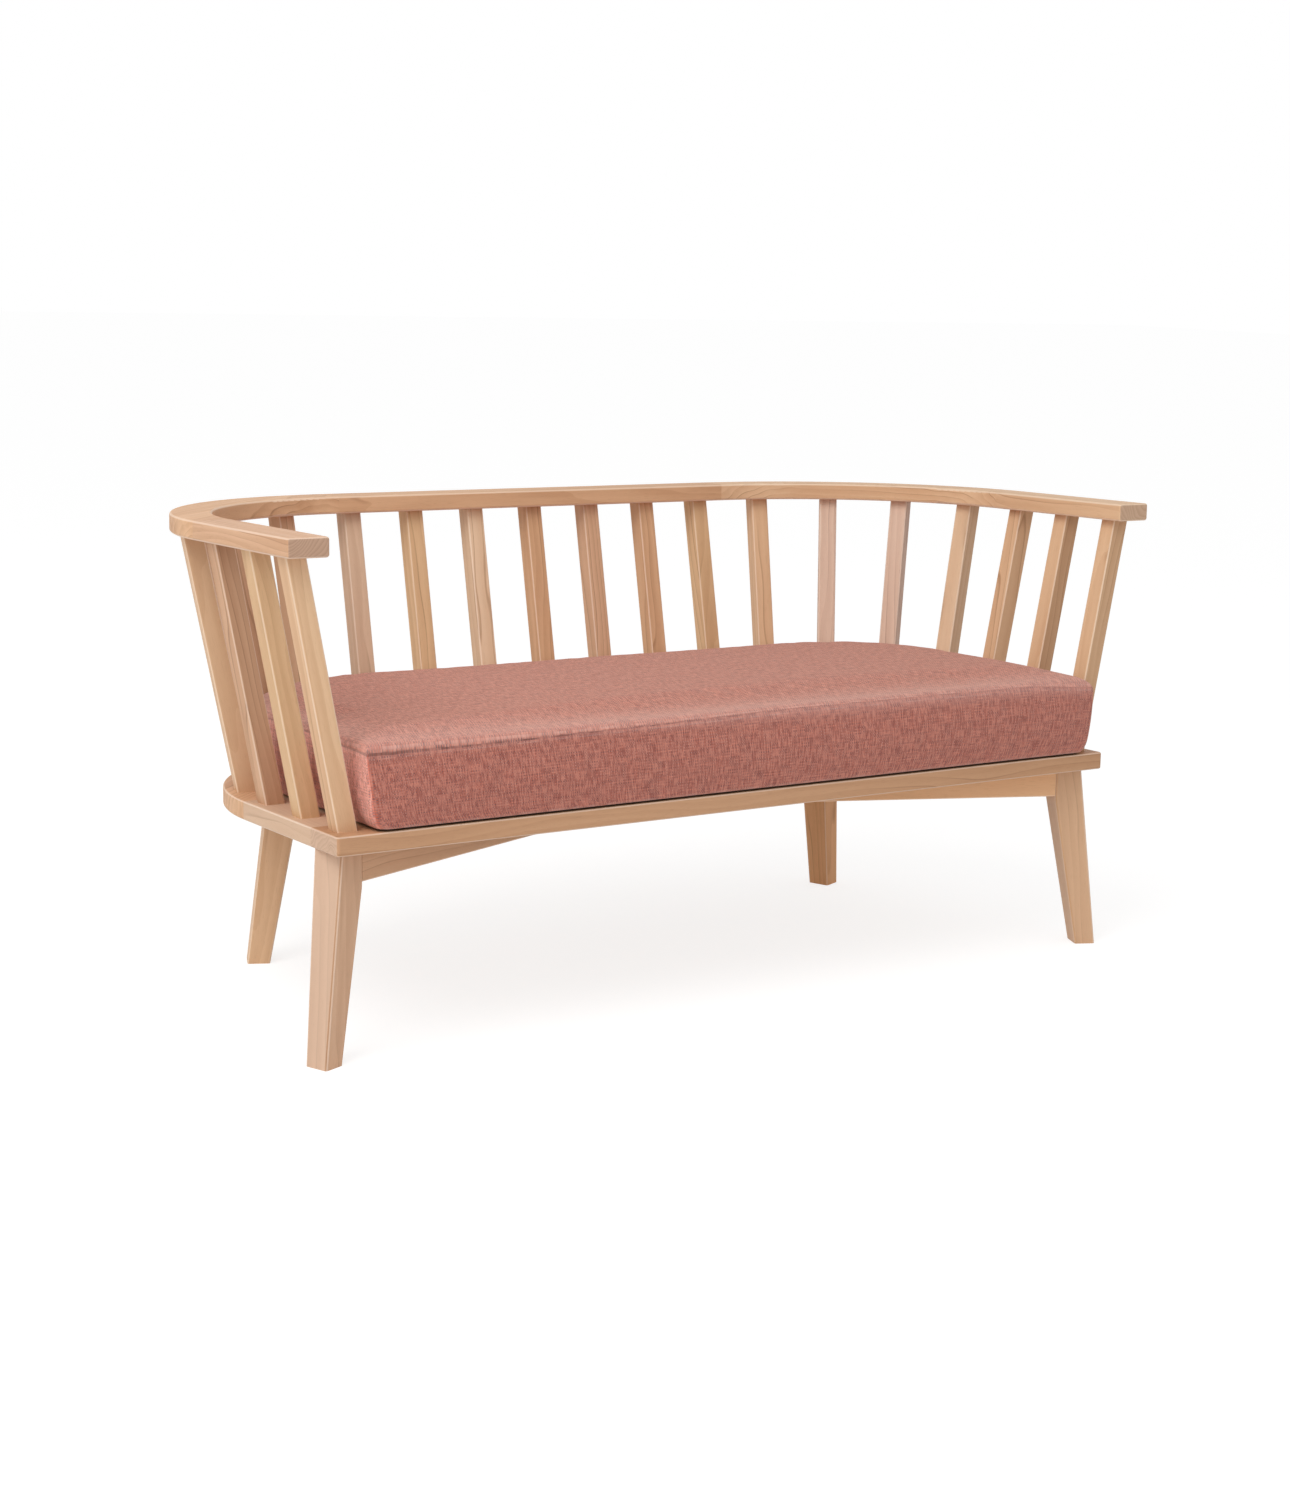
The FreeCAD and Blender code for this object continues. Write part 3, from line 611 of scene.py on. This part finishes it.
def inflate(piece, held, give, most):
    """Blows the cover up with Blender's cloth, held along its seams.

    Each point keeps its share of the way it was blown, and no point moves further than most.
    """
    group = piece.vertex_groups.new(name="held")
    group.add(held.tolist(), 1.0, "REPLACE")
    cloth = piece.modifiers.new("cloth", "CLOTH")
    cloth.settings.quality = 6
    cloth.settings.mass = 0.25
    cloth.settings.tension_stiffness = 12
    cloth.settings.compression_stiffness = 12
    cloth.settings.shear_stiffness = 6
    cloth.settings.bending_stiffness = 1.5
    cloth.settings.use_pressure = True
    cloth.settings.uniform_pressure_force = 4
    cloth.settings.shrink_min = -0.003
    cloth.settings.vertex_group_mass = "held"
    cloth.settings.effector_weights.gravity = 0
    cloth.collision_settings.use_collision = False
    scene = bpy.context.scene
    moments = 20
    for moment in range(1, moments + 1):
        scene.frame_set(moment)
    blown = np.empty(len(piece.data.vertices) * 3, np.float32)
    evaluated = piece.evaluated_get(bpy.context.evaluated_depsgraph_get())
    evaluated.data.vertices.foreach_get("co", blown)
    start = np.empty_like(blown)
    piece.data.vertices.foreach_get("co", start)
    piece.modifiers.remove(cloth)
    piece.vertex_groups.remove(group)
    scene.frame_set(1)
    move = (blown - start).reshape(-1, 3)
    length = np.linalg.norm(move, axis=1)
    move *= (give * np.minimum(1, most / np.maximum(length, 1e-9)))[:, None]
    piece.data.vertices.foreach_set("co", (start.reshape(-1, 3) + move).ravel())
    piece.data.update()


seam_hold, corner_hold, most_blown = 0.035, 0.050, 0.012
corner_seams = border_numbers[:, corner_columns]
held_numbers = np.concatenate((under_numbers.ravel(), rim(top_numbers), corner_seams.ravel()))
corner_walk = np.abs(ring_walk[:-1, None] - corner_walks).min(axis=1)
below_seam = (1 - row_shares[1:-1, None]) * border_height
border_give = eased(below_seam, seam_hold) * eased(corner_walk, corner_hold)
give = np.concatenate((eased(top_gap, seam_hold).ravel(), np.zeros(under_gap.size), border_give.ravel()))
inflate(cushion, held_numbers, give, most_blown)
rounding = cushion.modifiers.new("rounding", "SUBSURF")
rounding.levels = 1
rounding.render_levels = 1


def heather_group():
    """Two-tone heather cloth: a plain weave of threads that change colour along their length, and its seams.

    A thread's number is its place over the pitch. Warp and weft lie on top in turn, like a chequerboard, and
    each thread takes its colour from noise drawn out along it and from slubs, the thick places in the yarn.
    The height is the round back of a thread. The second map gives the distance from the top seam, below 0 on
    the border, and from the corner seams. The cloth takes a painted highlight along the upper edge, and this
    reaches further down to the right. Seams are thin broken lines: painted highlights beside the top seam and
    on the lower seam, a painted shadow in the top seam, a pale stitch line below it and thread at the
    corners. The top seam's highlight and shadow are whole beside the corners, and they fade to the right.
    """
    inputs = dict.fromkeys(("Cloth", "Seams"), "Vector")
    inputs.update(dict.fromkeys(("Bright", "Rust", "Grey", "Thread"), "Color"))
    tree, given, result = new_group("heather_cloth", inputs, {"Color": "Color", "Height": "Float"})
    pitch, apart = 0.0020, 0.83
    warp_run, weft_run = 34.0, 42.0
    warp_seed, weft_seed = 3.0, 8.0
    line_core, groove_half = 0.4, 0.0016
    count = calc_vector(tree, "MULTIPLY", given["Cloth"], (1 / pitch, 1 / pitch, 0.0))
    number = split(tree, calc_vector(tree, "FLOOR", count))
    within = split(tree, calc_vector(tree, "FRACTION", count))
    metres = split(tree, given["Cloth"])
    chequer = calc(tree, "PINGPONG", calc(tree, "ADD", number[0], number[1]), 1.0)
    slub = speckle(tree, given["Cloth"], (480.0, 75.0, 0.0), detail=1.0)

    def thread_colour(x, y, seed, dark):
        """Colour of the warp or the weft, between a dark yarn and the bright one."""
        place = add_node(tree, "CombineXYZ", {0: x, 1: y, 2: seed})
        noise = add_node(tree, "TexNoise", {"Vector": place, "Scale": 1.0, "Detail": 1.0})
        share = calc(tree, "MULTIPLY_ADD", slub, 0.65, calc(tree, "MULTIPLY", noise, 0.55))
        return blend_colours(tree, rise(tree, share, 0.41, 0.79), dark, given["Bright"])

    warp_x, weft_y = (calc(tree, "MULTIPLY", value, apart) for value in number[:2])
    warp_y = calc(tree, "MULTIPLY", metres[1], warp_run)
    weft_x = calc(tree, "MULTIPLY", metres[0], weft_run)
    warp_colour = thread_colour(warp_x, warp_y, warp_seed, given["Rust"])
    weft_colour = thread_colour(weft_x, weft_y, weft_seed, given["Grey"])
    colour = blend_colours(tree, chequer, weft_colour, warp_colour)

    round_warp, round_weft = (
        calc(tree, "SINE", calc(tree, "MULTIPLY", value, math.pi)) for value in within[:2]
    )
    height = add_node(tree, "Mix", {0: chequer, 2: round_weft, 3: round_warp}, data_type="FLOAT")
    gap = fall(tree, height, 0.0, 0.6)
    colour = blend_colours(tree, calc(tree, "MULTIPLY", gap, 0.25), colour, given["Grey"])

    top_seam, corner_seam = split(tree, given["Seams"])[:2]
    shadow = calc_vector(tree, "MULTIPLY", given["Grey"], (0.35, 0.28, 0.28))
    # Pale colour of the painted highlights and of the pale stitch line.
    highlight_and_stitch = blend_colours(tree, 0.45, given["Bright"], (1.0, 0.9, 0.85, 1.0))
    dash = rise(tree, speckle(tree, given["Cloth"], (38.0, 38.0, 0.0), detail=2.0), 0.36, 0.62)

    def line(distance, middle, half):
        """1 on a line at a distance, and 0 beyond its half width."""
        off = calc(tree, "ABSOLUTE", calc(tree, "SUBTRACT", distance, middle))
        return fall(tree, off, half * line_core, half)

    # Painted highlight along the upper edge, reaching further down the border to the right.
    front_end = fall(tree, metres[0], 1.27, 1.33)
    to_right = calc(tree, "MULTIPLY", front_end, rise(tree, metres[0], 0.25, 0.75))
    above = rise(tree, top_seam, calc(tree, "MULTIPLY_ADD", to_right, -0.014, -0.010), 0.010)
    edge = calc(tree, "MULTIPLY", above, fall(tree, top_seam, 0.006, 0.075))
    colour = blend_colours(tree, calc(tree, "MULTIPLY", edge, 0.25), colour, highlight_and_stitch)
    broken = calc(tree, "MULTIPLY_ADD", dash, 0.92, 0.08)
    whole = calc(tree, "MAXIMUM", broken, fall(tree, corner_seam, 0.03, 0.12))
    whole = calc(tree, "MULTIPLY", whole, calc(tree, "MULTIPLY_ADD", to_right, -0.7, 1.0))
    # Lines beside the seams: painted highlights, a painted shadow in the top seam, a pale stitch line and the
    # corner thread.
    for distance, middle, half, mask, share, toward in (
        (top_seam, 0.0018, 0.0012, whole, 0.22, highlight_and_stitch),
        (top_seam, -0.0045, 0.0012, broken, 0.16, highlight_and_stitch),
        (top_seam, -0.0006, 0.0013, whole, 0.55, shadow),
        (top_seam, 0.0012 - border_height, 0.0022, broken, 0.20, highlight_and_stitch),
        (corner_seam, 0.0, 0.0013, broken, 0.45, given["Thread"]),
    ):
        strength = calc(tree, "MULTIPLY", line(distance, middle, half), mask)
        colour = blend_colours(tree, calc(tree, "MULTIPLY", strength, share), colour, toward)
    for distance in (top_seam, corner_seam):
        height = calc(tree, "MULTIPLY_ADD", line(distance, 0.0, groove_half), -1.0, height)
    tree.links.new(colour, result["Color"])
    tree.links.new(height, result["Height"])
    return tree


heather_cloth = heather_group()


def heather(name, bright, rust, grey, thread):
    """Material of the heather cloth in one set of thread colours."""
    material = bpy.data.materials.new(name)
    material.use_nodes = True
    tree = material.node_tree
    shader = tree.nodes["Principled BSDF"]
    weave = tree.nodes.new("ShaderNodeGroup")
    weave.node_tree = heather_cloth
    for label, layer in (("Cloth", "cloth"), ("Seams", "seams")):
        tree.links.new(add_node(tree, "UVMap", {}, uv_map=layer), weave.inputs[label])
    for label, colour in (("Bright", bright), ("Rust", rust), ("Grey", grey), ("Thread", thread)):
        weave.inputs[label].default_value = colour
    relief = {"Height": weave.outputs["Height"], "Strength": 0.5, "Distance": 0.0005}
    tree.links.new(weave.outputs["Color"], shader.inputs["Base Color"])
    tree.links.new(add_node(tree, "Bump", relief), shader.inputs["Normal"])
    shader.inputs["Roughness"].default_value = 0.92
    shader.inputs["Specular IOR Level"].default_value = 0.15
    shader.inputs["Sheen Weight"].default_value = 0.42
    shader.inputs["Sheen Tint"].default_value = paint(255, 222, 206)
    shader.inputs["Sheen Roughness"].default_value = 0.5
    return material


# The front border, the underside, the other borders and the top, in the order of their slots.
# The other borders and the top are the front's cloth painted paler, as painted light.
cover_cloths = {
    "cushion_heather": (paint(201, 131, 114), paint(172, 86, 69), paint(116, 82, 81), paint(205, 100, 74)),
    "cushion_underside": (paint(62, 58, 58), paint(54, 50, 50), paint(44, 42, 43), paint(40, 38, 38)),
    "cushion_side_painted_light": (paint(241, 173, 157), paint(210, 121, 103), paint(153, 117, 116), paint(205, 100, 74)),
    "cushion_top_painted_light": (paint(216, 146, 127), paint(186, 96, 77), paint(119, 85, 84), paint(208, 122, 99)),
}
for name, yarns in cover_cloths.items():
    mesh.materials.append(heather(name, *yarns))
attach(cushion, "cushion")
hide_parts("seat_cushion")

# Floor and light: a plain white floor with a faint shadow, a wide soft lamp at the upper left, a weaker one
# far to the left, and a white sky that is a little brighter in front. They aren't part of the sofa.
white = (1.0, 1.0, 1.0, 1.0)
floor_half = 30.0
floor_glow = 0.775
floor_shown_colour = (0.34, 0.34, 0.34, 1.0)
floor_lit_colour = (0.92, 0.92, 0.92, 1.0)
floor_mesh = bpy.data.meshes.new("floor")
floor_corners = [(x * floor_half, y * floor_half, 0.0) for x, y in ((-1, -1), (1, -1), (1, 1), (-1, 1))]
floor_mesh.from_pydata(floor_corners, [], [(0, 1, 2, 3)])
floor = bpy.data.objects.new("floor", floor_mesh)
bpy.context.scene.collection.objects.link(floor)


def seen_directly(tree):
    """1 for what the camera sees, itself or in a mirror or glass, and 0 for light on its way to a surface."""
    path = tree.nodes.new("ShaderNodeLightPath").outputs
    mirrored = calc(tree, "MAXIMUM", path["Is Glossy Ray"], path["Is Transmission Ray"])
    return calc(tree, "MAXIMUM", path["Is Camera Ray"], mirrored)


floor_material = bpy.data.materials.new("floor_white")
floor_material.use_nodes = True
floor_tree = floor_material.node_tree
floor_tree.nodes.remove(floor_tree.nodes["Principled BSDF"])
floor_shown = add_node(floor_tree, "AddShader", {
    0: add_node(floor_tree, "BsdfDiffuse", {"Color": floor_shown_colour}),
    1: add_node(floor_tree, "Emission", {"Color": white, "Strength": floor_glow}),
})
floor_light = add_node(floor_tree, "BsdfDiffuse", {"Color": floor_lit_colour})
floor_mix = add_node(floor_tree, "MixShader", {0: seen_directly(floor_tree), 1: floor_light, 2: floor_shown})
floor_tree.links.new(floor_mix, floor_tree.nodes["Material Output"].inputs["Surface"])
floor_mesh.materials.append(floor_material)

sky_level = 0.63
sky_tilt = (0.0, 0.17, 0.0)
world = bpy.data.worlds.new("studio")
world.use_nodes = True
bpy.context.scene.world = world
sky_tree = world.node_tree
sky_way = sky_tree.nodes.new("ShaderNodeNewGeometry").outputs["Incoming"]
sky_glow = calc(sky_tree, "ADD", dot(sky_tree, sky_way, sky_tilt), sky_level)
sky_strength = add_node(sky_tree, "Mix", {0: seen_directly(sky_tree), 2: sky_glow, 3: 1.0}, data_type="FLOAT")
sky_tree.links.new(sky_strength, sky_tree.nodes["Background"].inputs["Strength"])
sky_tree.nodes["Background"].inputs["Color"].default_value = white

lamp_target = Vector((0.0, 0.0, 0.4))
for name, place, size, power in (
    ("soft_lamp", (-2.4, -1.1, 3.2), 2.4, 66.0),
    ("fill_lamp", (-8.0, -0.8, 2.6), 4.0, 36.0),
):
    lamp_data = bpy.data.lights.new(name, "AREA")
    lamp_data.shape = "DISK"
    lamp_data.size = size
    lamp_data.energy = power
    lamp = bpy.data.objects.new(name, lamp_data)
    bpy.context.scene.collection.objects.link(lamp)
    lamp.location = place
    lamp.rotation_euler = (lamp_target - lamp.location).to_track_quat("-Z", "Y").to_euler()

# Camera: at the photograph's place, which was found by fitting the sofa's edges to the photograph.
# The lens is given for the picture's long side.
camera_place = Vector((-2.1662, -3.2727, 1.0883))
camera_yaw, camera_pitch, camera_roll = 0.5912, 0.193, 0.0305
focal_pixels, long_side_pixels, film = 2560.7, 1495.0, 36.0
ahead = Vector((math.sin(camera_yaw) * math.cos(camera_pitch),
                math.cos(camera_yaw) * math.cos(camera_pitch), -math.sin(camera_pitch)))
level = Vector((math.cos(camera_yaw), -math.sin(camera_yaw), 0.0))
above = level.cross(ahead)
camera_x = level * math.cos(camera_roll) + above * math.sin(camera_roll)
camera_y = above * math.cos(camera_roll) - level * math.sin(camera_roll)
camera_data = bpy.data.cameras.new("camera")
camera_data.sensor_width = film
camera_data.lens = focal_pixels / long_side_pixels * film
camera = bpy.data.objects.new("camera", camera_data)
bpy.context.scene.collection.objects.link(camera)
camera.matrix_world = Matrix((
    (camera_x.x, camera_y.x, -ahead.x, camera_place.x),
    (camera_x.y, camera_y.y, -ahead.y, camera_place.y),
    (camera_x.z, camera_y.z, -ahead.z, camera_place.z),
    (0.0, 0.0, 0.0, 1.0),
))
bpy.context.scene.camera = camera
bpy.context.scene.view_settings.view_transform = "Standard"
